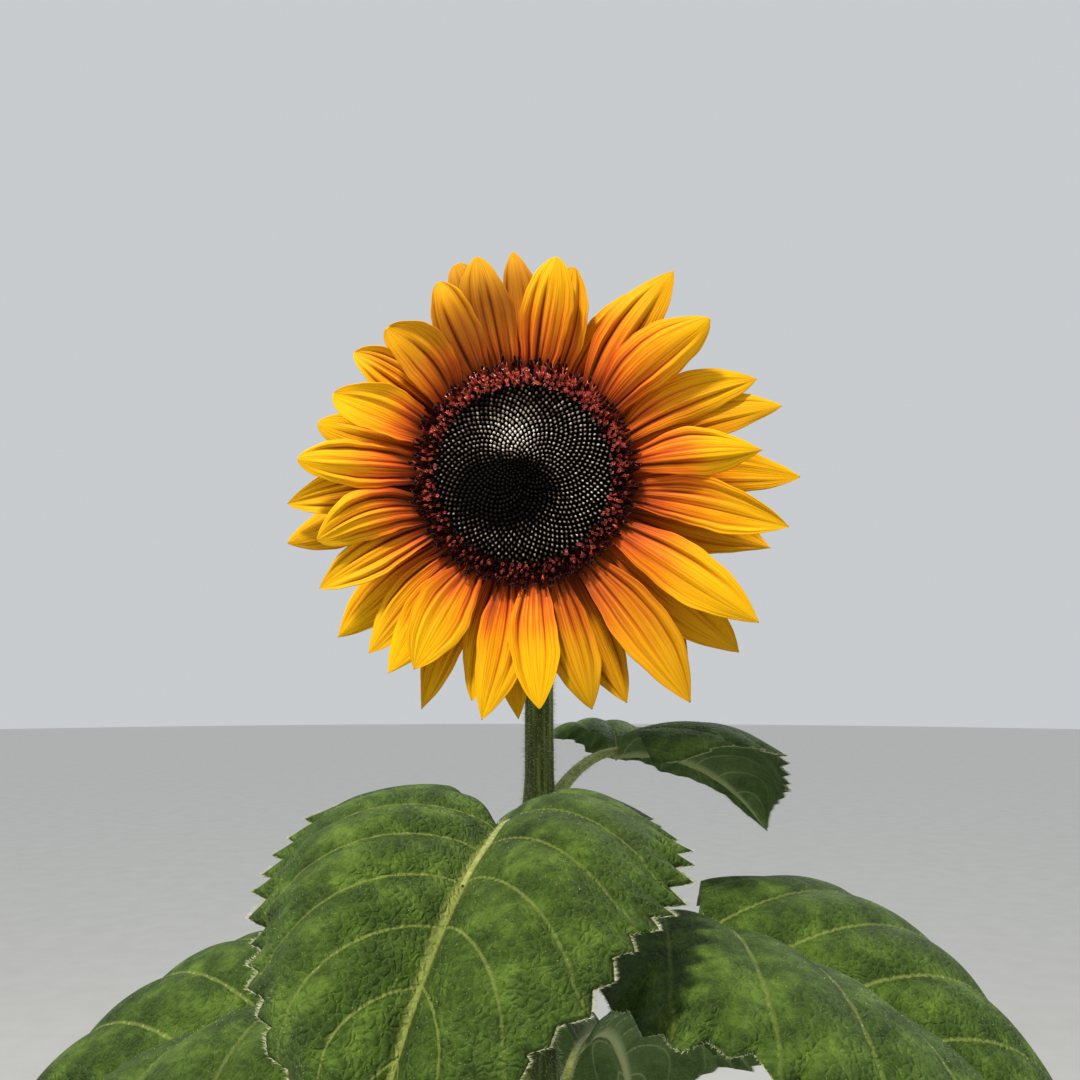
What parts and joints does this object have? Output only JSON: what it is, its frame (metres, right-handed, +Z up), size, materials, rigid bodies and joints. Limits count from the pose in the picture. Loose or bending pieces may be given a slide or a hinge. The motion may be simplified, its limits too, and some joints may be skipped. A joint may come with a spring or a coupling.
{
  "type": "sunflower plant",
  "caption": "A tall sunflower in bloom: a hairy stalk with toothed heart-shaped leaves, bent at the neck under one large flower head with orange-yellow rays round a dark disc",
  "frame": {"origin": "the middle of the flat cut under the stalk, at ground level", "axes": "+Z is up along the stalk, -Y is the way the bloom faces, +X is to the right seen from in front of the bloom"},
  "size_m": [0.5402, 0.5999, 1.667],
  "materials": {
    "stalk": "matte green skin with short pale hairs",
    "leaf": "matte, rough and veined",
    "ray": "soft satin, red-orange at the root",
    "seed_disc": "dark, close-set buds with pale tips",
    "floret": "dark maroon, matte",
    "bract": "matte green with pale hairs"
  },
  "bodies": {
    "root": {"stalk": "stalk", "neck": "stalk", "receptacle": "bract", "seed_disc": "seed_disc", "floret_ring": "floret", "bract_collar": "bract", "ray_01": "ray", "ray_02": "ray", "ray_03": "ray", "ray_04": "ray", "ray_05": "ray", "ray_06": "ray", "ray_07": "ray", "ray_08": "ray", "ray_09": "ray", "ray_10": "ray", "ray_11": "ray", "ray_12": "ray", "ray_13": "ray", "ray_14": "ray", "ray_15": "ray", "ray_16": "ray", "ray_17": "ray", "ray_18": "ray", "ray_19": "ray", "ray_20": "ray", "ray_21": "ray", "ray_22": "ray", "ray_23": "ray", "ray_24": "ray", "ray_25": "ray", "ray_26": "ray", "ray_27": "ray", "ray_28": "ray", "ray_29": "ray", "ray_30": "ray", "ray_31": "ray", "ray_32": "ray", "ray_33": "ray", "ray_34": "ray", "ray_35": "ray", "ray_36": "ray", "ray_37": "ray", "ray_38": "ray", "ray_39": "ray", "ray_40": "ray", "ray_41": "ray", "leaf_01": "leaf", "leaf_02": "leaf", "leaf_03": "leaf", "leaf_04": "leaf", "leaf_05": "leaf", "leaf_06": "leaf", "leaf_07": "leaf", "leaf_08": "leaf", "leaf_09": "leaf", "leaf_10": "leaf", "leaf_11": "leaf", "leaf_12": "leaf", "leaf_13": "leaf"}
  },
  "joints": []
}
